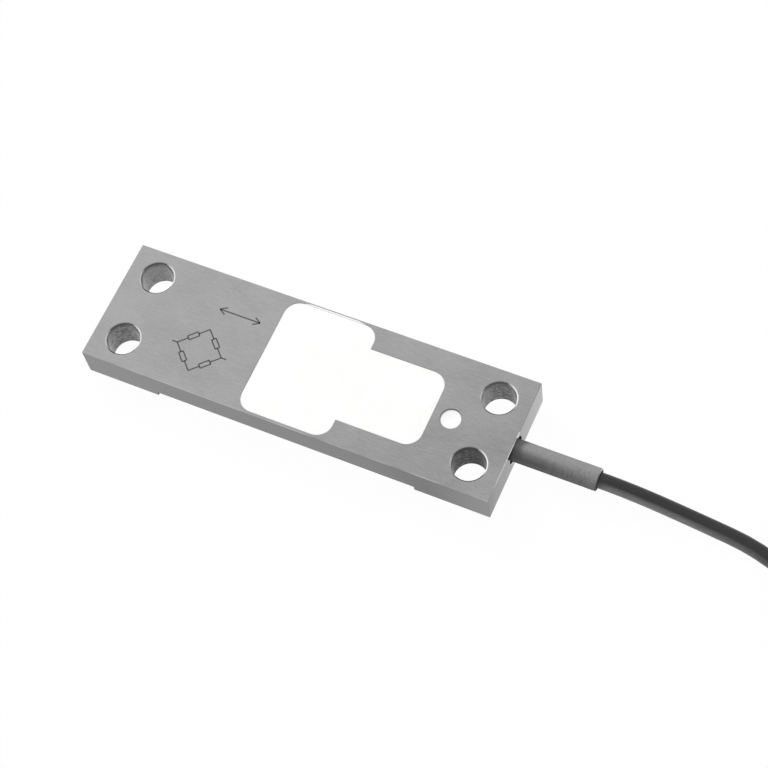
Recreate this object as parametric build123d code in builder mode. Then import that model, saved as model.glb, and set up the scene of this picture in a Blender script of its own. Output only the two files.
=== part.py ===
from build123d import *

import math
import os

os.makedirs("parts", exist_ok=True)

# Strain transducer, in millimetres. The bar lies along X with its cable end at +X, and stands on the
# two raised pads of its underside at Z = 0. The origin is under the middle of the bar.

# Measuring bar
bar_length = 82.0
bar_width = 25.0
bar_height = 7.0
pad_length = 14.8
pad_step = 1.2
edge_break = 0.1

# Holes for four M6 screws
screw_end_margin = 6.0
screw_side_margin = 5.5
screw_hole_radius = 3.2
screw_hole_chamfer = 0.25

# Window: its wide part leaves two thin webs, and its narrow part holds the terminal board
web_thickness = 0.5
wide_length = 18.4
window_end_margin = 16.0
side_wall = 4.75
window_radius = 3.0
step_radius = 0.3

# Cable, sleeve and the bore that holds them
cable_diameter = 3.0
sleeve_wall = 0.65
sleeve_reach = 15.9
sleeve_seat = 6.0
sleeve_rim = 0.2
gap_round_sleeve = 0.55
gap_round_cable = 0.4
bore_depth = 9.0
cable_end_depth = 8.5
bore_chamfer = 0.15
fill_hole_radius = 2.0
fill_hole_setback = 12.5

# White casting compound, set a little below each opening
window_recess = 0.1
bore_recess = 2.0
fill_recess = 0.2
fill_dish = 0.15

# Measuring foils on the webs
carrier_length = 10.0
carrier_height = 4.4
carrier_thickness = 0.15
grid_thickness = 0.05
grid_lines = 6
grid_pitch = 0.4
grid_line_width = 0.24
grid_line_length = 2.6
grid_gap = 0.6
tab_length = 0.8
tab_width = 0.7
tab_pitch = 1.3
tab_margin = 0.8

# Terminal board and what is soldered to it
board_length = 11.0
board_width = 12.5
board_thickness = 0.8
board_end_gap = 3.2
board_drop = 1.05
solder_pad_length = 1.6
solder_pad_thickness = 0.05
solder_pad_margin = 0.5
core_pad_pitch = 2.0
core_pad_width = 1.5
lead_pad_pitch = 1.4
lead_pad_width = 0.9
first_lead_pad = 2.4
resistor_length = 2.0
resistor_width = 1.2
resistor_height = 0.5
resistor_spacing = 3.2

# Wires inside
core_diameter = 0.9
core_spacing = 1.0
drain_diameter = 0.5
drain_rise = 1.15
lead_size = 0.2
lead_rise = 1.4
lead_height = 0.2
fan_start = 0.4
fan_stagger = 0.8
core_stop_gap = 0.3
core_straight = 0.4
strand_size = 0.4
solder_height = 0.8
solder_margin = 0.15
solder_taper = 15

# Loose cable, put away in a hank that two ties hold
bend_share = 0.45
hank_columns = 3
hank_layers = 6
inner_turn_radius = 9.0
turn_gap_across = 0.3
turn_gap_up = 0.15
hank_run = 48.0
hank_offset = 58.4
tie_width = 4.0
tie_thickness = 0.45

# Stripped far end of the cable
tail_length = 8.0
shrink_wall = 0.15
shrink_start = 3.0
shrink_length = 8.0
free_core_length = 28.0
free_core_stagger = 1.5
free_drain_length = 12.0
core_tip_length = 4.0
core_tip_diameter = 0.5

# Places and sizes that follow from those above
half_length = bar_length / 2
half_width = bar_width / 2
middle_height = bar_height - pad_step
pad_centre = half_length - pad_length / 2
screw_spacing_x = bar_length - 2 * screw_end_margin
screw_spacing_y = bar_width - 2 * screw_side_margin
web_face = half_width - web_thickness
web_middle = pad_step + middle_height / 2
window_end = half_length - window_end_margin
narrow_half = half_width - side_wall
bore_height = bar_height / 2
cable_radius = cable_diameter / 2
sleeve_radius = cable_radius + sleeve_wall
bore_radius = sleeve_radius + gap_round_sleeve
passage_radius = cable_radius + gap_round_cable
passage_end = half_length - bore_depth
fill_hole_x = half_length - fill_hole_setback
cable_end_x = half_length - cable_end_depth
exit_x = half_length + sleeve_reach
core_radius = core_diameter / 2
board_right = window_end - board_end_gap
board_left = board_right - board_length
board_top = bore_height - board_drop
pad_top = board_top + solder_pad_thickness

made = []


def finish(piece, name):
    """Labels a finished piece and writes its file."""
    piece.label = name
    export_step(piece, f"parts/{name}.step")
    made.append(piece)


def corner_radii(points):
    """The largest tangent arc that the two runs at each inner point of a route allow."""
    radii = []
    for before, corner, after in zip(points, points[1:], points[2:]):
        run_in = Vector(*corner) - Vector(*before)
        run_out = Vector(*after) - Vector(*corner)
        half_turn = math.radians(run_in.get_angle(run_out)) / 2
        shorter = min(run_in.length, run_out.length)
        radii.append(bend_share * shorter / math.tan(half_turn))
    return radii


def mitred_wire(points, section):
    """A wire of the given section that follows straight runs with mitred corners."""
    with BuildPart() as wire:
        with BuildLine() as route:
            Polyline(*points)
        with BuildSketch(route.line ^ 0):
            add(section)
        sweep(path=route.line, transition=Transition.RIGHT)
    return wire.part


# Outline of the window, for the cut in the bar and for the compound that fills it
with BuildSketch() as window:
    Rectangle(wide_length, 2 * web_face)
    with Locations((window_end / 2, 0)):
        Rectangle(window_end, 2 * narrow_half)
    corners = window.vertices()
    wide_corners = corners.filter_by(lambda corner: abs(corner.Y) > (web_face + narrow_half) / 2)
    end_corners = corners.group_by(Axis.X)[-1]
    step_corners = [c for c in corners if c not in wide_corners and c not in end_corners]
    fillet(wide_corners + end_corners, window_radius)
    fillet(step_corners, step_radius)

# Measuring bar
with BuildPart() as measuring_body:
    with BuildSketch(Plane.XY.offset(pad_step)):
        Rectangle(bar_length, bar_width)
    extrude(amount=middle_height)
    with BuildSketch():
        with Locations((pad_centre, 0), (-pad_centre, 0)):
            Rectangle(pad_length, bar_width)
    extrude(amount=pad_step)
    top_edges = measuring_body.faces().sort_by(Axis.Z)[-1].edges()
    foot_edges = measuring_body.edges().group_by(Axis.Z)[0]
    upright_edges = measuring_body.edges().filter_by(Axis.Z)
    corner_edges = upright_edges.filter_by(lambda edge: abs(edge.center().X) > pad_centre)
    chamfer(top_edges + foot_edges + corner_edges, edge_break)
    with Locations((0, 0, bar_height)):
        with GridLocations(screw_spacing_x, screw_spacing_y, 2, 2):
            Hole(screw_hole_radius)
    chamfer(measuring_body.edges().filter_by(GeomType.CIRCLE), screw_hole_chamfer)
    extrude(window.sketch, amount=bar_height, mode=Mode.SUBTRACT)
    with BuildSketch(Plane.YZ.offset(half_length)):
        with Locations((0, bore_height)):
            Circle(bore_radius)
    extrude(amount=-bore_depth, mode=Mode.SUBTRACT)
    bore_mouth = measuring_body.edges().filter_by(GeomType.CIRCLE).sort_by(Axis.X)[-1]
    chamfer(bore_mouth, bore_chamfer)
    with BuildSketch(Plane.YZ.offset(passage_end)):
        with Locations((0, bore_height)):
            Circle(passage_radius)
    extrude(amount=window_end - passage_end, mode=Mode.SUBTRACT)
    with BuildSketch(Plane.XY.offset(bar_height)):
        with Locations((fill_hole_x, 0)):
            Circle(fill_hole_radius)
    extrude(amount=bore_height - bar_height, mode=Mode.SUBTRACT)
finish(measuring_body.part, "measuring_body")

# Sleeve, and the end of the cable inside it
with BuildPart() as strain_relief_sleeve:
    with BuildSketch(Plane.YZ.offset(half_length - sleeve_seat)):
        with Locations((0, bore_height)):
            Circle(sleeve_radius)
            Circle(cable_radius, mode=Mode.SUBTRACT)
    extrude(amount=sleeve_seat + sleeve_reach)
    outer_rim = strain_relief_sleeve.edges().group_by(Axis.X)[-1].sort_by(SortBy.RADIUS)[-1]
    chamfer(outer_rim, sleeve_rim)
finish(strain_relief_sleeve.part, "strain_relief_sleeve")

with BuildPart() as cable_in_sleeve:
    with BuildSketch(Plane.YZ.offset(cable_end_x)):
        with Locations((0, bore_height)):
            Circle(cable_radius)
    extrude(amount=exit_x - cable_end_x)
finish(cable_in_sleeve.part, "cable_in_sleeve")

# Foil carrier on the inner face of the front web, with a grid along the bar and one across it
web_plane = Plane(origin=(0, -web_face, web_middle), x_dir=(1, 0, 0), z_dir=(0, 1, 0))
with BuildPart() as gauge_carrier:
    with BuildSketch(web_plane):
        Rectangle(carrier_length, carrier_height)
    extrude(amount=carrier_thickness)

grid_shift = (grid_line_length + grid_line_width + grid_gap) / 2
first_link = -(grid_lines - 2) * grid_pitch / 2
tab_x = carrier_length / 2 - tab_margin
with BuildPart() as gauge_grids:
    with BuildSketch(web_plane.offset(carrier_thickness)):
        for grid_x, grid_turn in ((-grid_shift, 0), (grid_shift, 90)):
            with Locations(Location((grid_x, 0, 0), (0, 0, grid_turn))):
                with GridLocations(0, grid_pitch, 1, grid_lines):
                    Rectangle(grid_line_length + grid_line_width, grid_line_width)
                for link in range(grid_lines - 1):
                    side = (-1) ** link
                    with Locations((side * grid_line_length / 2, first_link + link * grid_pitch)):
                        Rectangle(grid_line_width, grid_pitch)
        with Locations((tab_x, 0)):
            with GridLocations(0, tab_pitch, 1, 3):
                Rectangle(tab_length, tab_width)
    extrude(amount=grid_thickness)

# Terminal board in the narrow part of the window
core_pad_x = board_right - solder_pad_margin - solder_pad_length / 2
lead_pad_x = board_left + solder_pad_margin + solder_pad_length / 2
core_pad_ys = [core_pad_pitch * place for place in (-2, -1, 0, 1, 2)]
lead_pad_ys = [first_lead_pad + lead_pad_pitch * place for place in range(3)]
resistor_x = (core_pad_x + lead_pad_x) / 2
with BuildPart() as terminal_board:
    with BuildSketch(Plane.XY.offset(board_top)):
        with Locations(((board_left + board_right) / 2, 0)):
            Rectangle(board_length, board_width)
    extrude(amount=-board_thickness)
finish(terminal_board.part, "terminal_board")

with BuildPart() as board_pads:
    with BuildSketch(Plane.XY.offset(board_top)):
        with Locations(*[(core_pad_x, y) for y in core_pad_ys]):
            Rectangle(solder_pad_length, core_pad_width)
        with Locations(*[(lead_pad_x, side * y) for y in lead_pad_ys for side in (-1, 1)]):
            Rectangle(solder_pad_length, lead_pad_width)
    extrude(amount=solder_pad_thickness)
finish(board_pads.part, "board_pads")

with BuildPart() as balance_resistors:
    with BuildSketch(Plane.XY.offset(board_top)):
        with Locations((resistor_x, -resistor_spacing / 2), (resistor_x, resistor_spacing / 2)):
            Rectangle(resistor_length, resistor_width)
    extrude(amount=resistor_height)
finish(balance_resistors.part, "balance_resistors")

# Four cores and the shield's drain wire, from the end of the cable to the board's right-hand pads.
# The drain is a twisted bundle of bare strands with six sides.
fan_x = window_end - fan_start
core_stop_x = core_pad_x + solder_pad_length / 2 + core_stop_gap
fan_end_x = core_stop_x + core_straight
core_end_z = pad_top + core_radius
with BuildSketch() as core_section:
    Circle(core_radius)
with BuildSketch() as drain_section:
    RegularPolygon(drain_diameter / 2, 6)
core_wires = []
for name, side, level, pad_y in (
    ("core_white", -1, -1, core_pad_ys[0]),
    ("core_red", -1, 1, core_pad_ys[1]),
    ("core_black", 1, 1, core_pad_ys[3]),
    ("core_blue", 1, -1, core_pad_ys[4]),
):
    start_y = side * core_spacing / 2
    start_z = bore_height + level * core_spacing / 2
    bend_x = fan_x - (fan_stagger if level > 0 else 0)
    core_route = [
        (cable_end_x, start_y, start_z),
        (bend_x, start_y, start_z),
        (fan_end_x, pad_y, core_end_z),
        (core_stop_x, pad_y, core_end_z),
    ]
    core_wires.append(mitred_wire(core_route, core_section.sketch))
    finish(core_wires[-1], name)
drain_route = [
    (cable_end_x, 0, bore_height + drain_rise),
    (fan_x - 2 * fan_stagger, 0, bore_height + drain_rise),
    (fan_end_x, 0, core_end_z),
    (core_stop_x, 0, core_end_z),
]
core_wires.append(mitred_wire(drain_route, drain_section.sketch))
finish(core_wires[-1], "shield_drain")

# Thin leads, from the tabs of the front foils to the board's left-hand pads
tab_face = web_face - carrier_thickness - grid_thickness
with BuildSketch() as lead_section:
    Rectangle(lead_size, lead_size)
single_leads = []
for place, pad_y in zip((1, 0, -1), lead_pad_ys):
    tab_z = web_middle + place * tab_pitch
    lead_route = [
        (tab_x, -tab_face, tab_z),
        (tab_x, -tab_face + lead_rise, tab_z),
        (board_left - lead_rise, -pad_y, pad_top + lead_height),
        (lead_pad_x, -pad_y, pad_top + lead_height),
    ]
    single_leads.append(mitred_wire(lead_route, lead_section.sketch))
with BuildPart() as gauge_leads:
    add(single_leads)

# The rear web carries the same foils and leads
web_pieces = []
for name, front_piece in (
    ("gauge_carrier", gauge_carrier.part),
    ("gauge_grids", gauge_grids.part),
    ("gauge_leads", gauge_leads.part),
):
    rear_piece = mirror(front_piece, about=Plane.XZ)
    web_pieces += [front_piece, rear_piece]
    finish(front_piece, f"{name}_front")
    finish(rear_piece, f"{name}_rear")
lead_wires = web_pieces[-2:]

# Solder on each pad, round the end of its lead or round the tinned strands of its core
with BuildPart() as solder_joints:
    with BuildSketch(Plane.XY.offset(pad_top)):
        with Locations(*[(core_pad_x, y) for y in core_pad_ys]):
            Rectangle(solder_pad_length - 2 * solder_margin, core_pad_width - 2 * solder_margin)
        with Locations(*[(lead_pad_x, side * y) for y in lead_pad_ys for side in (-1, 1)]):
            Rectangle(solder_pad_length - 2 * solder_margin, lead_pad_width - 2 * solder_margin)
    extrude(amount=solder_height, taper=solder_taper)
    with BuildSketch(Plane.YZ.offset(core_pad_x)):
        with Locations(*[(y, core_end_z) for y in core_pad_ys]):
            Rectangle(strand_size, strand_size)
    extrude(amount=core_stop_x - core_pad_x)
    add(lead_wires, mode=Mode.SUBTRACT)
finish(solder_joints.part, "solder_joints")

# White compound in the window, cast round all that it holds
board_pieces = [terminal_board.part, board_pads.part, balance_resistors.part, solder_joints.part]
with BuildPart() as window_potting:
    with BuildSketch(Plane.XY.offset(pad_step + window_recess)):
        add(window.sketch)
    extrude(amount=middle_height - 2 * window_recess)
    for piece in web_pieces + core_wires + board_pieces:
        add(piece, mode=Mode.SUBTRACT)
finish(window_potting.part, "window_potting")

# The same compound in the bore and the filling hole, round the end of the cable and its sleeve
with BuildPart() as bore_potting:
    with BuildSketch(Plane.YZ.offset(window_end)):
        with Locations((0, bore_height)):
            Circle(passage_radius)
    extrude(amount=passage_end - window_end)
    with BuildSketch(Plane.YZ.offset(passage_end)):
        with Locations((0, bore_height)):
            Circle(bore_radius)
    extrude(amount=bore_depth - bore_recess)
    with BuildSketch(Plane.XY.offset(bore_height)):
        with Locations((fill_hole_x, 0)):
            Circle(fill_hole_radius)
    extrude(amount=bar_height - fill_recess - bore_height)
    dish_radius = (fill_hole_radius**2 + fill_dish**2) / (2 * fill_dish)
    with Locations((fill_hole_x, 0, bar_height - fill_recess - fill_dish + dish_radius)):
        Sphere(dish_radius, mode=Mode.SUBTRACT)
    add([cable_in_sleeve.part, strain_relief_sleeve.part, *core_wires], mode=Mode.SUBTRACT)
finish(bore_potting.part, "bore_potting")

# Hank of loose cable. Each layer has its turns side by side, and the top layer's outer place is left
# for the cable's stripped end. The first turn steps inward over the bend nearest the sleeve.
turn_across = cable_diameter + turn_gap_across
turn_up = cable_diameter + turn_gap_up
hank_inner = inner_turn_radius - turn_across / 2
hank_outer = hank_inner + hank_columns * turn_across
hank_height = hank_layers * turn_up
hank_start_x = exit_x + hank_offset
hank_middle_x = hank_start_x + hank_run / 2
hank_y = hank_outer - half_width
outer_turn_y = turn_across / 2 - half_width
bend_corner = (hank_start_x - hank_outer / 2, hank_y - hank_outer / 2)
tie_front_y = hank_y - (hank_inner + hank_outer) / 2
tie_rear_y = hank_y + (hank_inner + hank_outer) / 2
tie_inner_width = hank_outer - hank_inner - 2 * tie_thickness
tie_inner_height = hank_height - 2 * tie_thickness

with BuildSketch() as outer_turn:
    with Locations((hank_middle_x, hank_y)):
        SlotCenterToCenter(hank_run, 2 * hank_outer)
        SlotCenterToCenter(hank_run, 2 * (hank_outer - turn_across), mode=Mode.SUBTRACT)
with BuildSketch() as outer_turn_bend:
    add(outer_turn.sketch)
    with Locations(bend_corner):
        Rectangle(hank_outer, hank_outer, mode=Mode.INTERSECT)

with BuildPart() as hank_ties:
    for tie_y in (tie_front_y, tie_rear_y):
        with BuildSketch(Plane.YZ.offset(hank_middle_x - tie_width / 2)):
            with Locations((tie_y, hank_height / 2)):
                Rectangle(hank_outer - hank_inner, hank_height)
                Rectangle(tie_inner_width, tie_inner_height, mode=Mode.SUBTRACT)
        extrude(amount=tie_width)
finish(hank_ties.part, "hank_ties")

with BuildPart() as cable_hank:
    with BuildSketch():
        with Locations((hank_middle_x, hank_y)):
            SlotCenterToCenter(hank_run, 2 * hank_outer)
            SlotCenterToCenter(hank_run, 2 * hank_inner, mode=Mode.SUBTRACT)
    extrude(amount=hank_height)
    extrude(outer_turn_bend.sketch, amount=turn_up, mode=Mode.SUBTRACT)
    with BuildSketch(Plane.XY.offset(hank_height - turn_up)):
        add(outer_turn.sketch)
        add(outer_turn_bend.sketch, mode=Mode.SUBTRACT)
    extrude(amount=turn_up, mode=Mode.SUBTRACT)
    with BuildSketch(Plane.YZ.offset(hank_middle_x - tie_width / 2)):
        for tie_y in (tie_front_y, tie_rear_y):
            with Locations((tie_y, hank_height / 2)):
                Rectangle(hank_outer - hank_inner, hank_height)
                Rectangle(tie_inner_width, tie_inner_height, mode=Mode.SUBTRACT)
    extrude(amount=tie_width, mode=Mode.SUBTRACT)
finish(cable_hank.part, "cable_hank")

# Loose cable from the sleeve down to the surface and along it to the hank
cable_route = [
    (exit_x, 0, bore_height),
    (exit_x + 5.5, 0, bore_height),
    (exit_x + 16.5, 0, cable_radius),
    (exit_x + 33.0, -1.6, cable_radius),
    (hank_start_x - 9.0, outer_turn_y, cable_radius),
    (hank_start_x, outer_turn_y, cable_radius),
]
route_radii = corner_radii(cable_route)
with BuildPart() as cable_run:
    with BuildLine() as cable_line:
        FilletPolyline(*cable_route, radius=route_radii)
    with BuildSketch(cable_line.line ^ 0):
        Circle(cable_radius)
    sweep(path=cable_line.line)
finish(cable_run.part, "cable_run")

# Stripped end of the cable, on the hank
layer_top = hank_height - turn_up
tail_z = layer_top + cable_radius + shrink_wall
tail_end_x = hank_start_x + tail_length
with BuildPart() as cable_tail:
    with BuildSketch(Plane.YZ.offset(hank_start_x)):
        with Locations((outer_turn_y, tail_z)):
            Circle(cable_radius)
    extrude(amount=tail_length)
finish(cable_tail.part, "cable_tail")

with BuildPart() as tail_shrink:
    with BuildSketch(Plane.YZ.offset(hank_start_x + shrink_start)):
        with Locations((outer_turn_y, tail_z)):
            Circle(cable_radius + shrink_wall)
            Circle(cable_radius, mode=Mode.SUBTRACT)
    extrude(amount=shrink_length)
finish(tail_shrink.part, "tail_shrink")

free_core_places = []
for place, (name, side, level) in enumerate(
    (
        ("free_core_white", -1, -1),
        ("free_core_red", -1, 1),
        ("free_core_black", 1, 1),
        ("free_core_blue", 1, -1),
    )
):
    core_y = outer_turn_y + side * core_spacing / 2
    core_z = tail_z + level * core_spacing / 2
    core_length = free_core_length - place * free_core_stagger
    with BuildPart() as free_core:
        with BuildSketch(Plane.YZ.offset(tail_end_x)):
            with Locations((core_y, core_z)):
                Circle(core_radius)
        extrude(amount=core_length)
    finish(free_core.part, name)
    free_core_places.append((tail_end_x + core_length, core_y, core_z))

with BuildPart() as free_drain:
    with BuildSketch(Plane.YZ.offset(tail_end_x)):
        with Locations((outer_turn_y, tail_z + drain_rise)):
            add(drain_section.sketch)
    extrude(amount=free_drain_length)
finish(free_drain.part, "free_drain")

# Twisted strands at the end of each core, whose bundle has six sides
with BuildPart() as core_tips:
    for x, y, z in free_core_places:
        with BuildSketch(Plane.YZ.offset(x)):
            with Locations((y, z)):
                RegularPolygon(core_tip_diameter / 2, 6)
        extrude(amount=core_tip_length)
finish(core_tips.part, "core_tips")

run_length = cable_line.wire().length
section = math.pi * cable_radius**2
turns = hank_columns * hank_layers - 1
mean_radius = inner_turn_radius + (hank_columns - 1) * turn_across / 2
outer_radius = hank_outer - turn_across / 2
hank_length = (turns + 1) * 2 * (hank_run + math.pi * mean_radius)
hank_length -= 2 * (hank_run + math.pi * outer_radius)
print("pieces", len(made))
print("cable radii", [round(radius, 1) for radius in route_radii])
print("loose cable volume", round(cable_run.part.volume, 2))
print("its section times its length", round(section * run_length, 2))
print("turns in the hank", turns)
print("cable outside the bar", round(sleeve_reach + run_length + hank_length + tail_length))
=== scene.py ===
import math

import bpy
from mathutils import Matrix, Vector, noise


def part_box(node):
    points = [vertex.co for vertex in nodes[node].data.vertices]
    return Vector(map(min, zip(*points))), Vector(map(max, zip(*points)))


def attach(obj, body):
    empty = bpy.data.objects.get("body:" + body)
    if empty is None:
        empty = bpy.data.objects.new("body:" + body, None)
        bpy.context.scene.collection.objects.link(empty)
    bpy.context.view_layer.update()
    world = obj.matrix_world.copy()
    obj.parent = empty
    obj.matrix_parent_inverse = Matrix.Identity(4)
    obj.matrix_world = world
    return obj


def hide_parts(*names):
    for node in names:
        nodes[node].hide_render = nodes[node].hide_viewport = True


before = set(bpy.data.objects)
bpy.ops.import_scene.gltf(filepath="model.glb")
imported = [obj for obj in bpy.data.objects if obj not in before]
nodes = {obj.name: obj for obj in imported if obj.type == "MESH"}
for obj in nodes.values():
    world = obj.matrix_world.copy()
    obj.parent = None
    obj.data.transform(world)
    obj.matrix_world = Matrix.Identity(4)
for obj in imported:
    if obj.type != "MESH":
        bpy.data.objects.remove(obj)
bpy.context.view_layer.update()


# Measuring bar: one piece of stainless steel, milled all over and ground along its length on the top
# face and the two pads. The screw holes are drilled and broken at both rims, and their walls are dull
# grey. The greys of the top, the flanks, the end faces and the hole walls carry painted light and
# shade, and the rims and edges carry painted glints.
bar_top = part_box("measuring_body")[1].z
screw_x = 0.035
screw_y = 0.007
screw_radius = 0.0032
lip_width = 0.00012
rim_width = 0.0004
fill_hole_x = 0.0285
fill_hole_radius = 0.002
wall_margin = 0.00005
smear_half = 0.0068
smear_taper = 0.002
smear_start = 0.0119
smear_end = 0.01222
smear_low = 0.0065
lines_depth = 1.0e-6
# Plan direction that sets where the painted glints on the rims and the painted light on the hole walls
# fall.
painted_light_x = 0.87
painted_light_y = 0.50
# The top, flank and end greys are one steel in lit and shaded copies: painted light and shade.
top_dark = (0.26, 0.26, 0.26)
top_light = (0.42, 0.42, 0.42)
flank_dark = (0.094, 0.094, 0.094)
flank_light = (0.205, 0.205, 0.205)
end_dark = (0.020, 0.020, 0.020)
end_light = (0.275, 0.275, 0.275)
# Hole wall greys, and the painted shade inside the holes.
wall_dark = (0.06, 0.06, 0.06)
wall_light = (0.22, 0.22, 0.22)
hole_shade = (0.05, 0.05, 0.05)
# Rim and edge greys, each with a painted glint.
rim_grey = (0.24, 0.24, 0.24)
painted_rim_glint = (0.86, 0.86, 0.86)
edge_grey = (0.26, 0.26, 0.26)
painted_edge_glint = (0.95, 0.95, 0.95)
smear_white = (0.92, 0.92, 0.915)
# Mirroring tints; the duller one is painted shade on the hole walls.
full_sheen = (1.0, 1.0, 1.0)
painted_shade_sheen = (0.55, 0.55, 0.55)


def start_material(name, colour, metallic, roughness):
    """A new material: its tree, its shader and the object's own coordinates in metres."""
    material = bpy.data.materials.new(name)
    material.use_nodes = True
    tree = material.node_tree
    shader = tree.nodes["Principled BSDF"]
    shader.inputs["Base Color"].default_value = (*colour, 1)
    shader.inputs["Metallic"].default_value = metallic
    shader.inputs["Roughness"].default_value = roughness
    place = tree.nodes.new("ShaderNodeTexCoord")
    return material, tree, shader, place.outputs["Object"]


def grain(tree, place, grains_per_metre, detail=3.0, distortion=0.0):
    """Noise from 0 to 1, with its own number of grains per metre along each axis."""
    stretch = tree.nodes.new("ShaderNodeMapping")
    stretch.inputs["Scale"].default_value = grains_per_metre
    tree.links.new(place, stretch.inputs["Vector"])
    cloud = tree.nodes.new("ShaderNodeTexNoise")
    cloud.inputs["Scale"].default_value = 1.0
    cloud.inputs["Detail"].default_value = detail
    cloud.inputs["Distortion"].default_value = distortion
    tree.links.new(stretch.outputs["Vector"], cloud.inputs["Vector"])
    return cloud.outputs["Fac"]


def reach(tree, value, low, high, start=0.3, stop=0.7):
    """Goes from low to high while the value goes from start to stop, and stays level beyond them."""
    spread = tree.nodes.new("ShaderNodeMapRange")
    spread.inputs["From Min"].default_value = start
    spread.inputs["From Max"].default_value = stop
    spread.inputs["To Min"].default_value = low
    spread.inputs["To Max"].default_value = high
    tree.links.new(value, spread.inputs["Value"])
    return spread.outputs["Result"]


def combined(tree, operation, first, *others):
    """Values joined one after another by the same operation. Any of them may be a plain number."""
    result = first
    for other in others:
        joint = tree.nodes.new("ShaderNodeMath")
        joint.operation = operation
        for socket, value in zip(joint.inputs, (result, other)):
            if isinstance(value, (int, float)):
                socket.default_value = value
            else:
                tree.links.new(value, socket)
        result = joint.outputs["Value"]
    return result


def unsigned(tree, value):
    """The value without its sign."""
    return combined(tree, "ABSOLUTE", value, 0)


def tinted(tree, share, first, second):
    """A colour between two, by a share from 0 to 1."""
    mix = tree.nodes.new("ShaderNodeMix")
    mix.data_type = "RGBA"
    for socket, value in ((mix.inputs["A"], first), (mix.inputs["B"], second)):
        if isinstance(value, tuple):
            socket.default_value = (*value, 1)
        else:
            tree.links.new(value, socket)
    tree.links.new(share, mix.inputs["Factor"])
    return mix.outputs["Result"]


def roughened(tree, shader, height, depth):
    """Relief of the given depth in metres on a shader."""
    relief = tree.nodes.new("ShaderNodeBump")
    relief.inputs["Strength"].default_value = 1.0
    relief.inputs["Distance"].default_value = depth
    tree.links.new(height, relief.inputs["Height"])
    tree.links.new(relief.outputs["Normal"], shader.inputs["Normal"])


def dress(node_name, material):
    """Gives a CAD node its material."""
    for slot in nodes[node_name].material_slots:
        slot.material = material


def split(tree, vector):
    """The X, Y and Z of a place or a direction."""
    parts = tree.nodes.new("ShaderNodeSeparateXYZ")
    tree.links.new(vector, parts.inputs["Vector"])
    return parts.outputs


def surface_facing(tree):
    """The X, Y and Z of the way the surface faces, each from -1 to 1."""
    coordinates = tree.nodes.new("ShaderNodeTexCoord")
    return split(tree, coordinates.outputs["Normal"])


def between(tree, value, low, high):
    """1 where the value lies between the two numbers, 0 elsewhere."""
    return combined(tree, "MULTIPLY", combined(tree, "GREATER_THAN", value, low),
                    combined(tree, "LESS_THAN", value, high))


def round_zone(tree, at, middle_x, middle_y, radius):
    """1 inside upright cylinders that lie the same way in each quarter of the bar, 0 elsewhere."""
    across = combined(tree, "SUBTRACT", unsigned(tree, at["X"]), middle_x)
    aside = combined(tree, "SUBTRACT", unsigned(tree, at["Y"]), middle_y)
    square = combined(tree, "ADD", combined(tree, "MULTIPLY", across, across),
                      combined(tree, "MULTIPLY", aside, aside))
    return combined(tree, "LESS_THAN", square, radius ** 2)


def toward_corner(tree, at, amount, x_range, y_range):
    """The given amount in one corner of the bar. It grows from nothing over the two ranges."""
    return combined(tree, "MULTIPLY", reach(tree, at["X"], 0.0, amount, *x_range),
                    reach(tree, at["Y"], 0.0, 1.0, *y_range))


def ground_top_painted_light(tree, at, grains):
    """The top with painted light: it darkens toward the cable end, but less on its far side and at the
    near corner there.
    """
    fall = reach(tree, at["X"], 0.88, 0.32, start=-0.036, stop=0.038)
    far_side = toward_corner(tree, at, 0.20, x_range=(-0.025, -0.005), y_range=(-0.010, 0.010))
    near_corner = toward_corner(tree, at, 0.22, x_range=(0.034, 0.037), y_range=(-0.003, -0.008))
    return tinted(tree, combined(tree, "ADD", fall, far_side, near_corner, grains), top_dark, top_light)


def milled_flank_painted_light(tree, at, grains):
    """Painted light on the flanks: they darken slowly, dip before the cable end's holes and lighten at
    its corners.
    """
    fall = reach(tree, at["X"], 0.72, 0.46, start=-0.035, stop=0.018)
    dip = reach(tree, at["X"], 0.0, -0.30, start=0.018, stop=0.028)
    corner_rise = reach(tree, at["X"], 0.0, 0.86, start=0.029, stop=0.041)
    faint_grains = combined(tree, "MULTIPLY", grains, 0.3)
    level = combined(tree, "ADD", fall, dip, corner_rise, faint_grains)
    return tinted(tree, level, flank_dark, flank_light)


def milled_end_painted_light(tree, at, grains):
    """Painted light on the end face of the cable: lighter toward its far side, darkest by its near edge.
    """
    rise = reach(tree, at["Y"], 0.16, 1.0, start=-0.0105, stop=0.0105)
    dark_edge = reach(tree, at["Y"], -0.5, 0.0, start=-0.0125, stop=-0.0100)
    faint_grains = combined(tree, "MULTIPLY", grains, 0.45)
    return tinted(tree, combined(tree, "ADD", rise, dark_edge, faint_grains), end_dark, end_light)


def drilled_wall_painted_light(tree, place, at, far_facing):
    """Drilled wall worn in patches; painted light makes it lighter in the far holes and at the plain end,
    painted shade dark on top.
    """
    worn = grain(tree, place, (1500, 1500, 4200), 6.0)
    level = combined(tree, "ADD", reach(tree, worn, 0.0, 1.0, start=0.38, stop=0.62),
                     reach(tree, far_facing, -0.2, 0.2, start=-0.8, stop=0.8),
                     reach(tree, at["X"], 0.15, -0.25, start=-0.01, stop=0.01),
                     reach(tree, at["Y"], -0.2, 0.2, start=-0.004, stop=0.004))
    # Painted shade at the top of the wall, under the rim.
    below_rim = reach(tree, at["Z"], 1.0, 0.0, start=0.0056, stop=0.0069)
    return tinted(tree, below_rim, hole_shade, tinted(tree, level, wall_dark, wall_light))


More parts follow.
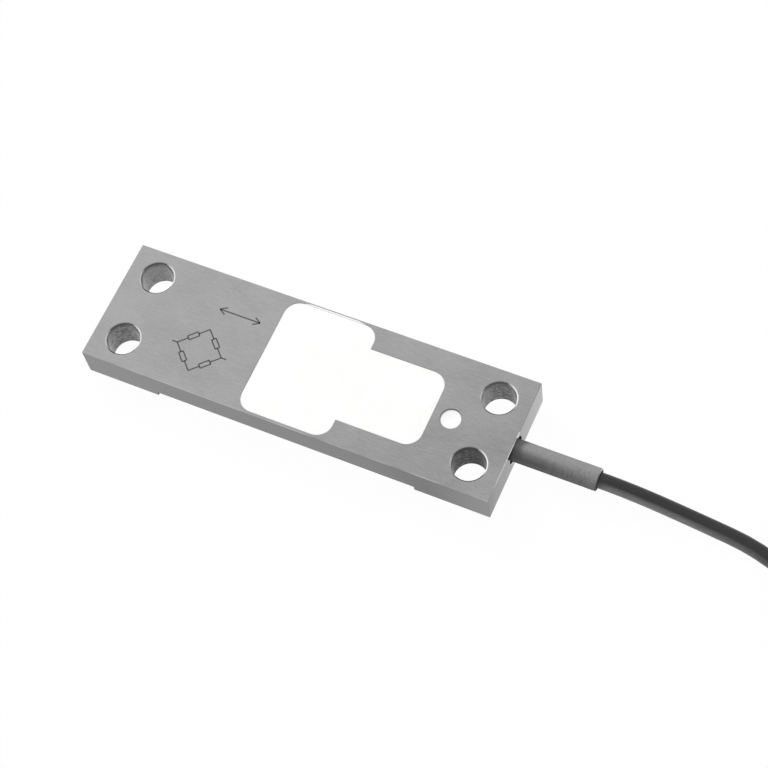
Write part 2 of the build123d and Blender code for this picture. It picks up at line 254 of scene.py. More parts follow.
def wall_sheen_painted_shade(tree, at, wall_share):
    """Tint of the mirroring at a low angle, duller on the walls of the holes at the cable end: painted
    shade.
    """
    near_side = reach(tree, at["Y"], 1.0, 0.4, start=-0.004, stop=0.004)
    cable_half = reach(tree, at["X"], 0.0, 1.0, start=-0.01, stop=0.01)
    dull = combined(tree, "MULTIPLY", near_side, cable_half, wall_share)
    return tinted(tree, dull, full_sheen, painted_shade_sheen)


def broken_rim_painted_light(tree, at, facing, painted_glint):
    """Broken rim of a screw hole: a grey ring with painted shade on the lip inside it, and a painted
    glint on two sides.
    """
    lip = round_zone(tree, at, screw_x, screw_y, screw_radius + lip_width)
    lip_painted_shade = reach(tree, facing["Y"], 0.06, 0.15, start=0.0, stop=0.4)
    return tinted(tree, painted_glint, tinted(tree, lip, rim_grey, lip_painted_shade), painted_rim_glint)


def broken_edge_painted_light(tree, at, facing, clouds):
    """Broken outer edge: a painted glint at the cable end, and spots of painted light along the near
    flank.
    """
    over_bore = between(tree, at["Y"], 0.0008, 0.0020)
    near_half = reach(tree, at["Y"], 0.55, 0.0, start=-0.001, stop=0.001)
    toward_end = reach(tree, facing["X"], 0.0, 1.0, start=0.3, stop=0.6)
    near_fade = reach(tree, at["Y"], 0.15, 1.0, start=-0.0115, stop=-0.0080)
    painted_end_glint = combined(tree, "MULTIPLY", combined(tree, "MAXIMUM", over_bore, near_half),
                         toward_end, near_fade)
    toward_near = reach(tree, facing["Y"], 0.34, 0.0, start=-0.6, stop=-0.3)
    spots = reach(tree, clouds, 0.0, 1.0, start=0.36, stop=0.56)
    painted_near_glint = combined(tree, "MULTIPLY", toward_near, spots)
    return tinted(tree, combined(tree, "MAXIMUM", painted_end_glint, painted_near_glint), edge_grey, painted_edge_glint)


def compound_smear(tree, at):
    """1 on the thin smear of compound over the inner edge of the far web, 0 elsewhere."""
    along = unsigned(tree, at["X"])
    far_limit = reach(tree, along, smear_end, smear_start, smear_half - smear_taper, smear_half)
    return combined(tree, "MULTIPLY",
                    combined(tree, "GREATER_THAN", at["Y"], smear_start),
                    combined(tree, "LESS_THAN", at["Y"], far_limit),
                    combined(tree, "LESS_THAN", along, smear_half),
                    combined(tree, "GREATER_THAN", at["Z"], smear_low))


def ground_steel():
    """Steel with fine lines along the bar, milled flanks and ends, drilled walls and hole rims, with
    painted light, shade and glints.
    """
    material, tree, shader, place = start_material("ground_steel", (0.36, 0.36, 0.36), 1.0, 0.4)
    at = split(tree, place)
    facing = surface_facing(tree)
    far_facing = combined(tree, "ADD", combined(tree, "MULTIPLY", facing["X"], painted_light_x),
                          combined(tree, "MULTIPLY", facing["Y"], painted_light_y))
    lines = grain(tree, place, (520, 4600, 4600), 4.0)
    fine = grain(tree, place, (3000, 9000, 9000), 2.0)
    clouds = grain(tree, place, (140, 180, 180), 3.0)
    lightness = combined(tree, "ADD", reach(tree, lines, -0.35, 0.35), reach(tree, fine, -0.5, 0.5),
                         reach(tree, clouds, -0.3, 0.3))
    grains = reach(tree, lightness, -0.45, 0.45, start=-1.0, stop=1.0)

    upright = between(tree, facing["Z"], -0.3, 0.3)
    sloped = between(tree, facing["Z"], 0.4, 0.95)
    flank_share = between(tree, facing["Z"], -0.5, 0.5)
    end_share = combined(tree, "GREATER_THAN", facing["X"], 0.9)
    wall_zone = round_zone(tree, at, screw_x, screw_y, screw_radius + wall_margin)
    wall_share = combined(tree, "MULTIPLY", wall_zone, upright)
    rim_zone = round_zone(tree, at, screw_x, screw_y, screw_radius + rim_width)
    rim_share = combined(tree, "MULTIPLY", rim_zone, sloped)
    edge_share = combined(tree, "MULTIPLY", sloped, combined(tree, "SUBTRACT", 1.0, rim_zone))
    fill_zone = round_zone(tree, at, fill_hole_x, 0.0, fill_hole_radius + wall_margin)
    fill_wall = combined(tree, "MULTIPLY", fill_zone, upright)
    smear = compound_smear(tree, at)
    # Painted glints on two opposite sides of each hole's rim.
    painted_glint = combined(tree, "MAXIMUM", reach(tree, far_facing, 1.0, 0.0, start=-0.60, stop=-0.40),
                     reach(tree, far_facing, 0.0, 0.6, start=0.50, stop=0.66))

    # Painted light and shade on each part of the bar, over its grain.
    colour = tinted(tree, flank_share, ground_top_painted_light(tree, at, grains), milled_flank_painted_light(tree, at, grains))
    colour = tinted(tree, end_share, colour, milled_end_painted_light(tree, at, grains))
    colour = tinted(tree, wall_share, colour, drilled_wall_painted_light(tree, place, at, far_facing))
    colour = tinted(tree, rim_share, colour, broken_rim_painted_light(tree, at, facing, painted_glint))
    colour = tinted(tree, edge_share, colour, broken_edge_painted_light(tree, at, facing, clouds))
    colour = tinted(tree, fill_wall, colour, hole_shade)
    colour = tinted(tree, smear, colour, smear_white)
    tree.links.new(colour, shader.inputs["Base Color"])
    # Where the rims carry the painted glint the steel is not metal, so the glint stays bright from every
    # side.
    painted_glint_share = combined(tree, "MULTIPLY", rim_share, painted_glint)
    tree.links.new(combined(tree, "SUBTRACT", 1.0, painted_glint_share, smear), shader.inputs["Metallic"])
    tree.links.new(reach(tree, lines, 0.18, 0.21), shader.inputs["Roughness"])
    tree.links.new(wall_sheen_painted_shade(tree, at, wall_share), shader.inputs["Specular Tint"])
    roughened(tree, shader, combined(tree, "ADD", lines, fine), lines_depth)
    return material


dress("measuring_body", ground_steel())


# Marking: signs etched into the top face at the plain end. A bridge of four resistors stands for the
# measuring circuit, and a double arrow for the direction in which the bar measures. The etched metal
# is darker and duller than the ground face.
mark_line = 0.00026
mark_lift = 0.00001
bridge_middle = Vector((-0.0205, -0.0040))
bridge_reach = 0.0046
resistor_half_length = 0.00105
resistor_half_width = 0.00045
arrow_middle = Vector((-0.0165, 0.0052))
arrow_half_length = 0.0042
arrow_head = 0.0013
arrow_head_half_width = 0.00078
etched_dark = (0.06, 0.06, 0.06)
etched_light = (0.15, 0.15, 0.15)
etched_depth = 4e-6


def etched_line(vertices, faces, start, end):
    """One straight etched line, a flat strip from start to end."""
    along = (end - start).normalized()
    side = Vector((-along.y, along.x)) * mark_line / 2
    first = len(vertices)
    for point in (start - side, end - side, end + side, start + side):
        vertices.append((point.x, point.y, bar_top + mark_lift))
    faces.append((first, first + 1, first + 2, first + 3))


def marking():
    """The bridge and the arrow as one flat piece."""
    vertices, faces = [], []
    corners = [Vector((bridge_reach, 0)), Vector((0, bridge_reach)),
               Vector((-bridge_reach, 0)), Vector((0, -bridge_reach))]
    for corner, following in zip(corners, corners[1:] + corners[:1]):
        start, end = bridge_middle + corner, bridge_middle + following
        middle = (start + end) / 2
        along = (end - start).normalized()
        side = Vector((-along.y, along.x))
        long, wide = along * resistor_half_length, side * resistor_half_width
        etched_line(vertices, faces, start, middle - long)
        etched_line(vertices, faces, middle + long, end)
        box = [middle - long - wide, middle + long - wide, middle + long + wide, middle - long + wide]
        for here, there in zip(box, box[1:] + box[:1]):
            etched_line(vertices, faces, here, there)
    for side in (-1, 1):
        corner = bridge_middle + Vector((side * bridge_reach, 0))
        etched_line(vertices, faces, corner, corner + Vector((side * resistor_half_length, 0)))
    along = Vector((arrow_half_length, 0))
    etched_line(vertices, faces, arrow_middle - along, arrow_middle + along)
    for side in (-1, 1):
        tip = arrow_middle + Vector((side * arrow_half_length, 0))
        for slant in (-1, 1):
            barb = tip + Vector((-side * arrow_head, slant * arrow_head_half_width))
            etched_line(vertices, faces, tip, barb)
    mesh = bpy.data.meshes.new("etched_marking")
    mesh.from_pydata(vertices, [], faces)
    piece = bpy.data.objects.new("etched_marking", mesh)
    bpy.context.collection.objects.link(piece)
    return piece


def etched_steel():
    """Etched metal, dark and dull, a little uneven."""
    material, tree, shader, place = start_material("etched_steel", (0.1, 0.1, 0.1), 0.6, 0.6)
    spots = grain(tree, place, (5000, 5000, 5000), 2.0)
    tree.links.new(tinted(tree, spots, etched_dark, etched_light), shader.inputs["Base Color"])
    roughened(tree, shader, spots, etched_depth)
    return material


etched_marking = marking()
etched_marking.data.materials.append(etched_steel())
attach(etched_marking, "root")


# Measuring foils: amber film glued to the inner faces of the two thin webs, with an etched foil on it
# that has one grid along the bar and one across it. Lacquered copper leads are soldered to its tabs.
roughness_spread = 0.15


def plain_finish(name, dark, light, metallic, roughness, grains_per_metre, depth):
    """A finish that only varies a little from grain to grain."""
    material, tree, shader, place = start_material(name, dark, metallic, roughness)
    cloud = grain(tree, place, (grains_per_metre,) * 3, 4.0)
    smooth, rough = roughness * (1 - roughness_spread), roughness * (1 + roughness_spread)
    tree.links.new(tinted(tree, reach(tree, cloud, 0.0, 1.0), dark, light), shader.inputs["Base Color"])
    tree.links.new(reach(tree, cloud, smooth, rough), shader.inputs["Roughness"])
    roughened(tree, shader, cloud, depth)
    return material


amber_film = plain_finish("amber_film", (0.50, 0.30, 0.08), (0.62, 0.40, 0.12),
                          metallic=0.0, roughness=0.25, grains_per_metre=1500, depth=2e-6)
etched_foil = plain_finish("etched_foil", (0.58, 0.50, 0.42), (0.70, 0.62, 0.54),
                           metallic=1.0, roughness=0.3, grains_per_metre=4000, depth=1e-6)
copper_lead = plain_finish("copper_lead", (0.62, 0.30, 0.14), (0.76, 0.44, 0.24),
                           metallic=1.0, roughness=0.3, grains_per_metre=3000, depth=1e-6)
for web in ("front", "rear"):
    dress(f"gauge_carrier_{web}", amber_film)
    dress(f"gauge_grids_{web}", etched_foil)
    dress(f"gauge_leads_{web}", copper_lead)


# Terminal board: glass laminate under a green resist, with plated copper pads, solder on each of them
# and two small resistors that trim the bridge. It lies in the narrow part of the window.
weave_scale = 650.0
weave_depth = 6e-6
board_dark = (0.03, 0.19, 0.08)
board_light = (0.06, 0.27, 0.13)


def woven_board():
    """Green resist over a glass weave that shows through as a fine relief."""
    material, tree, shader, place = start_material("woven_board", (0.04, 0.22, 0.10), 0.0, 0.3)
    threads = []
    for direction in ("X", "Y"):
        waves = tree.nodes.new("ShaderNodeTexWave")
        waves.bands_direction = direction
        waves.inputs["Scale"].default_value = weave_scale
        tree.links.new(place, waves.inputs["Vector"])
        threads.append(waves.outputs["Fac"])
    weave = combined(tree, "MULTIPLY", *threads)
    tree.links.new(tinted(tree, weave, board_dark, board_light), shader.inputs["Base Color"])
    roughened(tree, shader, weave, weave_depth)
    return material


dress("terminal_board", woven_board())
plated_copper = plain_finish("plated_copper", (0.72, 0.54, 0.24), (0.84, 0.66, 0.34),
                             metallic=1.0, roughness=0.3, grains_per_metre=2500, depth=2e-6)
bright_solder = plain_finish("bright_solder", (0.62, 0.62, 0.60), (0.80, 0.80, 0.78),
                             metallic=1.0, roughness=0.25, grains_per_metre=1800, depth=6e-6)
coated_chip = plain_finish("coated_chip", (0.02, 0.02, 0.025), (0.06, 0.06, 0.065),
                           metallic=0.0, roughness=0.35, grains_per_metre=2500, depth=4e-6)
dress("board_pads", plated_copper)
dress("solder_joints", bright_solder)
dress("balance_resistors", coated_chip)


# Cores: four insulated wires and the bare drain wire of the screen, from the end of the cable through
# the narrow passage to the board's pads.
core_colours = {
    "white": ((0.76, 0.76, 0.73), (0.86, 0.86, 0.83)),
    "red": ((0.52, 0.03, 0.02), (0.64, 0.06, 0.05)),
    "black": ((0.02, 0.02, 0.02), (0.05, 0.05, 0.05)),
    "blue": ((0.03, 0.10, 0.42), (0.06, 0.17, 0.54)),
}
core_finish = {
    name: plain_finish(f"core_{name}_finish", dark, light,
                       metallic=0.0, roughness=0.4, grains_per_metre=1400, depth=5e-6)
    for name, (dark, light) in core_colours.items()
}
for name, finish in core_finish.items():
    dress(f"core_{name}", finish)
tinned_wire = plain_finish("tinned_wire", (0.62, 0.61, 0.58), (0.78, 0.77, 0.74),
                           metallic=1.0, roughness=0.35, grains_per_metre=5000, depth=8e-6)
dress("shield_drain", tinned_wire)


# White compound: two-part resin poured level with the top face, and let in through the round filling
# hole of the cable bore. It sets matt, with a faint unevenness.
# Widths and grey of the ring of painted shade round the filling hole.
shade_ring_inside = 0.00012
shade_ring_outside = 0.0001
painted_shade_grey = (0.35, 0.35, 0.35)
resin_dark = (0.90, 0.90, 0.895)
resin_light = (0.94, 0.94, 0.935)
resin_depth = 3e-5


def white_compound():
    """Matt white resin, a little uneven, with a ring of painted shade round the filling hole."""
    material, tree, shader, place = start_material("white_resin", (0.9, 0.9, 0.9), 0.0, 0.5)
    at = split(tree, place)
    swells = grain(tree, place, (220, 220, 220), 2.0)
    specks = grain(tree, place, (3200, 3200, 3200), 3.0)
    mottle = combined(tree, "ADD", reach(tree, swells, 0.0, 0.5), reach(tree, specks, 0.0, 0.5))
    white = tinted(tree, mottle, resin_dark, resin_light)
    # A ring of painted shade round the rim of the filling hole.
    inside = round_zone(tree, at, fill_hole_x, 0.0, fill_hole_radius - shade_ring_inside)
    around = round_zone(tree, at, fill_hole_x, 0.0, fill_hole_radius + shade_ring_outside)
    painted_shade_ring = combined(tree, "SUBTRACT", around, inside)
    tree.links.new(tinted(tree, painted_shade_ring, white, painted_shade_grey), shader.inputs["Base Color"])
    unevenness = combined(tree, "ADD", swells, reach(tree, specks, 0.0, 0.06))
    roughened(tree, shader, unevenness, resin_depth)
    return material


white_resin = white_compound()
dress("window_potting", white_resin)
dress("bore_potting", white_resin)


# Strain relief sleeve: a length of soft grey tube round the cable, held in the bore by the compound.
# It is drawn with its real unevenness: faint rings from the cutting of the tube, and a rounded rim.
sleeve_low, sleeve_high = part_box("strain_relief_sleeve")
sleeve_start = sleeve_low.x
sleeve_end = sleeve_high.x
sleeve_length = sleeve_end - sleeve_start
axis_height = (sleeve_low.z + sleeve_high.z) / 2
sleeve_radius = (sleeve_high.z - sleeve_low.z) / 2
cable_radius = (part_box("cable_in_sleeve")[1].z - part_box("cable_in_sleeve")[0].z) / 2
sleeve_rim = 0.00022
sleeve_steps = 150
sleeve_sides = 96
bore_steps = 6
rim_steps = 6
bore_margin = 0.0002
ring_depth = 0.000018
rings_per_metre = 2600
rings_around = 0.8
dents_per_metre = 260
dents_around = 1.4
dent_share = 0.9
ring_share_inside = 0.25
# Width of the ring of painted shade round the cable on the cut end.
shade_ring_width = 0.0003
sleeve_dark = (0.225, 0.225, 0.225)
sleeve_light = (0.285, 0.285, 0.285)
# Painted shade beside the bar, and painted light and shade on the cut end.
painted_shade_black = (0.0, 0.0, 0.0)
cut_grey = (0.20, 0.20, 0.20)
painted_cut_light = (0.90, 0.90, 0.90)
painted_gap_shade = (0.015, 0.015, 0.015)
sleeve_depth = 1.2e-5


def lathed(name, outline, sides, ripple):
    """A closed ring round the sleeve's axis from an outline of (x, radius), with a ripple added."""
    vertices, faces = [], []
    for x, radius in outline:
        for side in range(sides):
            turn = math.tau * side / sides
            wide = radius + ripple(x, turn, radius)
            vertices.append((x, wide * math.cos(turn), axis_height + wide * math.sin(turn)))
    count = len(outline)
    for step in range(count):
        for side in range(sides):
            here, there = step * sides, ((step + 1) % count) * sides
            beside = (side + 1) % sides
            faces.append((here + side, here + beside, there + beside, there + side))
    mesh = bpy.data.meshes.new(name)
    mesh.from_pydata(vertices, [], faces)
    mesh.polygons.foreach_set("use_smooth", [True] * len(faces))
    piece = bpy.data.objects.new(name, mesh)
    bpy.context.collection.objects.link(piece)
    return piece


def sleeve_ripple(x, turn, radius):
    """Rings that are strongest toward the sleeve's end, with soft dents, only on its outer face."""
    if radius < cable_radius + bore_margin:
        return 0.0
    share = (x - sleeve_start) / sleeve_length
    across, up = math.cos(turn), math.sin(turn)
    rings = noise.noise(Vector((x * rings_per_metre, across * rings_around, up * rings_around)))
    dents = noise.noise(Vector((x * dents_per_metre, across * dents_around, up * dents_around)))
    ring_strength = ring_share_inside + (1 - ring_share_inside) * share
    return ring_depth * (rings * ring_strength + dent_share * dents) - ring_depth


def sleeve_outline():
    """Along the bore, round the outer rim and back along the outer face."""
    inner = cable_radius
    outline = [(sleeve_start + sleeve_length * step / bore_steps, inner) for step in range(bore_steps)]
    outline.append((sleeve_end - sleeve_rim, inner))
    for step in range(rim_steps + 1):
        turn = math.pi / 2 * step / rim_steps
        outline.append((sleeve_end - sleeve_rim + sleeve_rim * math.sin(turn),
                        inner + sleeve_rim * (1 - math.cos(turn))))
    for step in range(rim_steps + 1):
        turn = math.pi / 2 * step / rim_steps
        outline.append((sleeve_end - sleeve_rim + sleeve_rim * math.cos(turn),
                        sleeve_radius - sleeve_rim + sleeve_rim * math.sin(turn)))
    for step in range(1, sleeve_steps + 1):
        share = step / sleeve_steps
        outline.append((sleeve_end - sleeve_rim + (sleeve_start - sleeve_end + sleeve_rim) * share,
                        sleeve_radius))
    return outline


def ringed_skin(tree, place, at, facing, rings):
    """Outer face: chalky grey, with cut rings on the low side of its end and painted shade on its low
    side by the bar.
    """
    dust = grain(tree, place, (1400, 1400, 1400), 4.0)
    outer_half = reach(tree, at["X"], 0.0, 1.0, start=0.0455, stop=0.0505)
    lower_half = reach(tree, facing["Y"], 1.0, 0.1, start=-0.3, stop=0.1)
    cuts = combined(tree, "MULTIPLY", outer_half, lower_half, reach(tree, rings, -0.8, 0.8))
    tone = combined(tree, "ADD", reach(tree, rings, 0.2, 0.5), reach(tree, dust, 0.0, 0.5), cuts)
    # Painted shade on the low side of the sleeve next to the bar.
    near_bar = reach(tree, at["X"], 0.34, 0.0, start=0.0465, stop=0.0560)
    low_side = combined(tree, "MULTIPLY", reach(tree, facing["Y"], 1.0, 0.0, start=-0.5, stop=-0.1),
                        reach(tree, facing["Z"], 0.0, 1.0, start=0.1, stop=0.5))
    painted_sleeve_shade = combined(tree, "MULTIPLY", near_bar, low_side)
    return tinted(tree, painted_sleeve_shade, tinted(tree, tone, sleeve_dark, sleeve_light), painted_shade_black)


def cut_face(tree, at):
    """Cut end: painted light on its far side, and a ring of painted shade round the cable."""
    upward = combined(tree, "SUBTRACT", at["Z"], axis_height)
    square = combined(tree, "ADD", combined(tree, "MULTIPLY", upward, upward),
                      combined(tree, "MULTIPLY", at["Y"], at["Y"]))
    gap_shade_share = combined(tree, "LESS_THAN", square, (cable_radius + shade_ring_width) ** 2)
    far_side = reach(tree, at["Y"], 0.0, 1.0, start=0.0, stop=0.0015)
    return tinted(tree, gap_shade_share, tinted(tree, far_side, cut_grey, painted_cut_light), painted_gap_shade)


def soft_grey_tube():
    """Grey elastic tube with a chalky, slightly ringed surface, painted shade by the bar and painted
    light on its cut end.
    """
    material, tree, shader, place = start_material("soft_grey_tube", (0.27, 0.27, 0.27), 0.0, 0.62)
    shader.inputs["Specular IOR Level"].default_value = 0.02
    at = split(tree, place)
    facing = surface_facing(tree)
    rings = grain(tree, place, (3400, 900, 900), 5.0, 0.6)
    skin = ringed_skin(tree, place, at, facing, rings)
    cut_share = reach(tree, facing["X"], 0.0, 1.0, start=0.25, stop=0.60)
    tree.links.new(tinted(tree, cut_share, skin, cut_face(tree, at)), shader.inputs["Base Color"])
    roughened(tree, shader, rings, sleeve_depth)
    return material


sleeve = lathed("grey_sleeve", sleeve_outline(), sleeve_sides, sleeve_ripple)
sleeve.data.materials.append(soft_grey_tube())
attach(sleeve, "root")
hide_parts("strain_relief_sleeve")


# Cable: round, screened, with four cores under a dark extruded jacket. It runs from the sleeve down to
# the surface and along it. Its spare length is put away in a tied hank just past the picture's edge.
exit_x = sleeve_end
hank_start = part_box("cable_run")[1].x
hank_low, hank_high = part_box("cable_hank")
tie_low, tie_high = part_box("hank_ties")
hank_run = 2 * ((tie_low.x + tie_high.x) / 2 - hank_start)
hank_y = (hank_low.y + hank_high.y) / 2
turn_across = 0.0033
turn_up = 0.00315
hank_columns = 3
hank_layers = 6
outer_radius = hank_high.y - hank_y - turn_across / 2
tail_low, tail_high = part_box("cable_tail")
bend_steps = 6
bend_step = math.pi / bend_steps
climb_rate = 1.7
aside_power = 1.5
spline_steps = 6
# Where the painted light on the jacket's near side begins, and its greys.
painted_light_start = exit_x + 0.0002
painted_light_full = exit_x + 0.0022
jacket_dark = (0.010, 0.010, 0.0102)
jacket_light = (0.022, 0.022, 0.0223)
painted_light_low = (0.17, 0.17, 0.17)
painted_light_high = (0.32, 0.32, 0.32)
jacket_depth = 1.2e-5

cable_route = [
    (exit_x, 0, axis_height),
    (exit_x + 0.0055, 0, axis_height),
    (exit_x + 0.0165, 0, cable_radius),
    (exit_x + 0.0330, -0.0016, cable_radius),
    (hank_start - 0.0090, hank_y - outer_radius, cable_radius),
]


def hank_places():
    """Column and layer of each turn: layer by layer, from the outside in and back out again."""
    places = []
    for layer in range(hank_layers):
        columns = range(hank_columns) if layer % 2 == 0 else reversed(range(hank_columns))
        places += [(column, layer) for column in columns]
    return places


def place_of(column, layer):
    """Radius and height of the middle of a turn."""
    return outer_radius - column * turn_across, turn_up * (layer + 0.5)


def bend(middle_x, first_angle, from_place, to_place):
    """Control points of half a turn. A turn that changes its place first climbs, then steps aside."""
    points = []
    for step in range(bend_steps):
        angle = first_angle + (step + 0.5) * bend_step
        late = max(0.0, (step + 0.5) / bend_steps - 0.5) * 2
        climb = min(1.0, late * climb_rate)
        aside = late ** aside_power
        radius = from_place[0] + (to_place[0] - from_place[0]) * aside
        height = from_place[1] + (to_place[1] - from_place[1]) * climb
        radius /= math.cos(bend_step / 2)
        points.append((middle_x + radius * math.cos(angle), hank_y + radius * math.sin(angle), height))
    return points


def hank_route():
    """Control points of all the turns."""
    points = []
    places = hank_places()
    for here, following in zip(places, places[1:]):
        now, then = place_of(*here), place_of(*following)
        for share in (0.0, 0.5, 1.0):
            points.append((hank_start + hank_run * share, hank_y - now[0], now[1]))
        points += bend(hank_start + hank_run, -math.pi / 2, now, now)
        for share in (1.0, 0.5, 0.0):
            points.append((hank_start + hank_run * share, hank_y + now[0], now[1]))
        points += bend(hank_start, math.pi / 2, now, then)
    return points


def round_line(name, points, radius, roundness=8):
    """A round line on one smooth open spline through a list of control points."""
    curve = bpy.data.curves.new(name, "CURVE")
    curve.dimensions = "3D"
    curve.bevel_depth = radius
    curve.bevel_resolution = roundness
    curve.use_fill_caps = True
    curve.resolution_u = spline_steps
    spline = curve.splines.new("NURBS")
    spline.points.add(len(points) - 1)
    for point, place in zip(spline.points, points):
        point.co = (*place, 1)
    spline.order_u = 3
    spline.use_endpoint_u = True
    piece = bpy.data.objects.new(name, curve)
    bpy.context.collection.objects.link(piece)
    return piece


def dark_jacket():
    """Dark extruded jacket, satin and finely grained, with painted light on its near side by the bar."""
    material, tree, shader, place = start_material("dark_jacket", (0.05, 0.05, 0.05), 0.0, 0.25)
    shader.inputs["Specular IOR Level"].default_value = 0.4
    at = split(tree, place)
    facing = surface_facing(tree)
    streaks = grain(tree, place, (300, 2400, 2400), 3.0)
    specks = grain(tree, place, (4200, 4200, 4200), 2.0)
    tone = combined(tree, "ADD", reach(tree, streaks, 0.0, 0.6), reach(tree, specks, 0.0, 0.4))
    plain_jacket = tinted(tree, tone, jacket_dark, jacket_light)
    painted_light_tone = tinted(tree, tone, painted_light_low, painted_light_high)
    # Painted light on the near side of the cable by the bar, faded at the sleeve.
    near_side = reach(tree, facing["Y"], 1.0, 0.0, start=-0.92, stop=-0.50)
    by_the_bar = reach(tree, at["X"], 1.0, 0.12, start=0.072, stop=0.100)
    past_sleeve = reach(tree, at["X"], 0.3, 1.0, start=painted_light_start, stop=painted_light_full)
    painted_light_share = combined(tree, "MULTIPLY", near_side, by_the_bar, past_sleeve)
    tree.links.new(tinted(tree, painted_light_share, plain_jacket, painted_light_tone), shader.inputs["Base Color"])
    tree.links.new(reach(tree, specks, 0.34, 0.42), shader.inputs["Roughness"])
    roughened(tree, shader, specks, jacket_depth)
    return material


tail_middle = ((tail_low.y + tail_high.y) / 2, (tail_low.z + tail_high.z) / 2)
tail_points = [(x, *tail_middle) for x in (tail_low.x, (tail_low.x + tail_high.x) / 2, tail_high.x)]
cable = round_line("cable", cable_route + hank_route() + tail_points, cable_radius)
jacket = dark_jacket()
cable.data.materials.append(jacket)
dress("cable_in_sleeve", jacket)
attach(cable, "root")
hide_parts("cable_run", "cable_hank", "cable_tail")


# Stripped end of the cable: a short shrunk sleeve over the end of the jacket, the four cores, the
# drain wire cut short beside them, and tinned tips.
shrunk_sleeve = plain_finish("shrunk_sleeve", (0.02, 0.02, 0.02), (0.045, 0.045, 0.045),
                             metallic=0.0, roughness=0.5, grains_per_metre=900, depth=1e-5)
dress("tail_shrink", shrunk_sleeve)
core_sway = {
    "white": ((-0.0005, 0.0001), (-0.0009, 0.0001)),
    "red": ((-0.0003, 0.0005), (-0.0006, 0.0006)),
    "black": ((0.0003, 0.0005), (0.0006, 0.0004)),
    "blue": ((0.0005, 0.0001), (0.0009, 0.0000)),
}
shrink_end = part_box("tail_shrink")[1].x
straight_tip = 0.002
core_roundness = 5
for name, (sway_before, sway_after) in core_sway.items():
    core_low, core_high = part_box(f"free_core_{name}")
    core_y = (core_low.y + core_high.y) / 2
    core_z = (core_low.z + core_high.z) / 2
    middles = {(shrink_end + tie_low.x) / 2: sway_before, (tie_high.x + core_high.x) / 2: sway_after}
    stations = [core_low.x, shrink_end, *middles, tie_low.x, tie_high.x,
                core_high.x - straight_tip, core_high.x]
    core_points = []
    for x in sorted(stations):
        aside, above = middles.get(x, (0.0, 0.0))
        core_points.append((x, core_y + aside, core_z + above))
    core = round_line(f"loose_core_{name}", core_points, (core_high.z - core_low.z) / 2, core_roundness)
    core.data.materials.append(core_finish[name])
    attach(core, "root")
    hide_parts(f"free_core_{name}")
dress("free_drain", tinned_wire)
dress("core_tips", tinned_wire)


# Ties: two straps of black plastic round the hank, one on each of its straight sides. They are pulled
# tight by hand and hold the turns together.
strap_plastic = plain_finish("strap_plastic", (0.02, 0.02, 0.02), (0.05, 0.05, 0.05),
                             metallic=0.0, roughness=0.55, grains_per_metre=1600, depth=1.5e-5)
dress("hank_ties", strap_plastic)


# Table: a wide pale surface under the bar. The camera and the metal see it as white paper, and it
# keeps a faint shadow.
table_half = 1.2
table_drop = 0.00002
paper_grey = (0.35, 0.35, 0.35)
white = (1, 1, 1)
glow_strength = 1.03
glow_share = 0.95


def white_table():
    """White paper that glows for the camera and for reflections, and still takes a shadow."""
    material = bpy.data.materials.new("white_table")
    material.use_nodes = True
    tree = material.node_tree
    tree.nodes.clear()
    end = tree.nodes.new("ShaderNodeOutputMaterial")
    paper = tree.nodes.new("ShaderNodeBsdfDiffuse")
    paper.inputs["Color"].default_value = (*paper_grey, 1)
    glow = tree.nodes.new("ShaderNodeEmission")
    glow.inputs["Color"].default_value = (*white, 1)
    glow.inputs["Strength"].default_value = glow_strength
    path = tree.nodes.new("ShaderNodeLightPath")
    seen = combined(tree, "MAXIMUM", path.outputs["Is Camera Ray"], path.outputs["Is Glossy Ray"],
                    path.outputs["Is Transmission Ray"])
    share = combined(tree, "MULTIPLY", seen, glow_share)
    blend = tree.nodes.new("ShaderNodeMixShader")
    tree.links.new(share, blend.inputs["Fac"])
    tree.links.new(paper.outputs["BSDF"], blend.inputs[1])
    tree.links.new(glow.outputs["Emission"], blend.inputs[2])
    tree.links.new(blend.outputs["Shader"], end.inputs["Surface"])
    return material


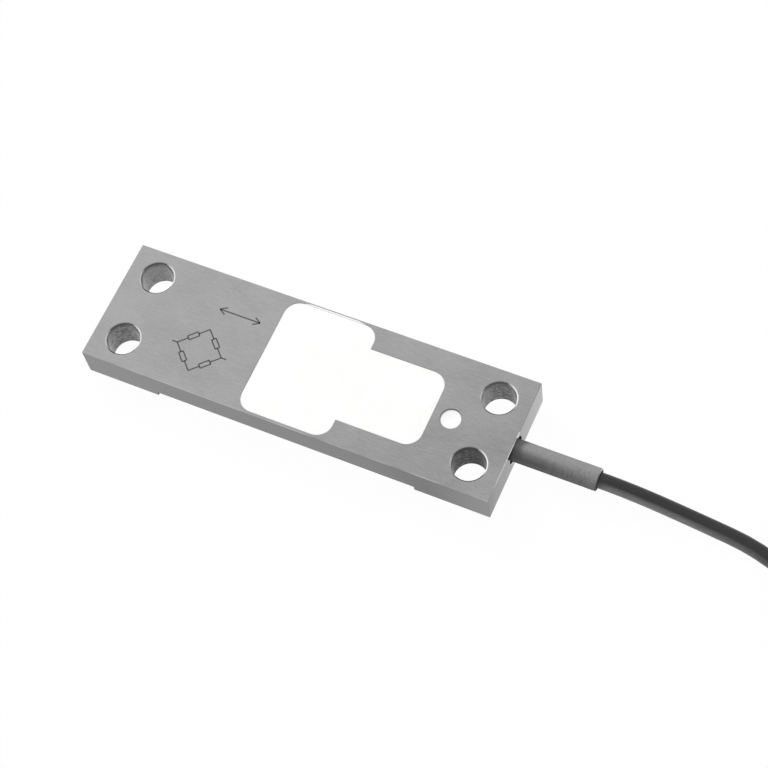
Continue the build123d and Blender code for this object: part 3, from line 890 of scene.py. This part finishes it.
table_mesh = bpy.data.meshes.new("table")
table_mesh.from_pydata([(-table_half, -table_half, 0), (table_half, -table_half, 0),
                        (table_half, table_half, 0), (-table_half, table_half, 0)], [], [(0, 1, 2, 3)])
table = bpy.data.objects.new("table", table_mesh)
bpy.context.collection.objects.link(table)
table.location.z = -table_drop
table_mesh.materials.append(white_table())


# Light: a white room and one large soft lamp behind the plain end. The lamp models the bar and the
# sleeve and throws their faint shadow toward the camera's side. The steel doesn't mirror it, so that
# the ground top isn't plain white when it is seen from the side opposite to the lamp.
room_level = 0.62
lamp_place = Vector((-1.65, 1.20, 1.60))
lamp_aim = Vector((0.02, 0, 0))
lamp_size = 0.7
lamp_power = 52.0

world = bpy.data.worlds.new("white_room")
bpy.context.scene.world = world
world.use_nodes = True
room = world.node_tree
room_shade = room.nodes["Background"]
room_shade.inputs["Color"].default_value = (*white, 1)
room_path = room.nodes.new("ShaderNodeLightPath").outputs
room_seen = combined(room, "MAXIMUM", room_path["Is Camera Ray"], room_path["Is Glossy Ray"],
                     room_path["Is Transmission Ray"])
seen_gain = combined(room, "MULTIPLY", room_seen, 1 - room_level)
room.links.new(combined(room, "ADD", seen_gain, room_level), room_shade.inputs["Strength"])

lamp = bpy.data.lights.new("key_lamp", "AREA")
lamp.shape = "SQUARE"
lamp.size = lamp_size
lamp.energy = lamp_power
lamp_stand = bpy.data.objects.new("key_lamp", lamp)
bpy.context.collection.objects.link(lamp_stand)
lamp_stand.location = lamp_place
lamp_stand.visible_glossy = False
lamp_stand.rotation_euler = (lamp_aim - lamp_place).to_track_quat("-Z", "Y").to_euler()


# Camera: above the cable end and in front of it, as the bar was photographed. Its place, turn and lens
# come from the bar's corners and edges and the rims of its holes. The turn is in degrees.
camera_place = (0.110343, -0.134067, 0.321920)
camera_turn = (27.3113, 5.7354, 24.2211)
lens = 92.157
sensor_width = 36.0
nearest_seen = 0.01
camera_data = bpy.data.cameras.new("camera")
camera_data.sensor_width = sensor_width
camera_data.lens = lens
camera_data.clip_start = nearest_seen
camera = bpy.data.objects.new("camera", camera_data)
bpy.context.collection.objects.link(camera)
camera.location = camera_place
camera.rotation_euler = [math.radians(angle) for angle in camera_turn]
bpy.context.scene.camera = camera
bpy.context.scene.view_settings.view_transform = "Standard"
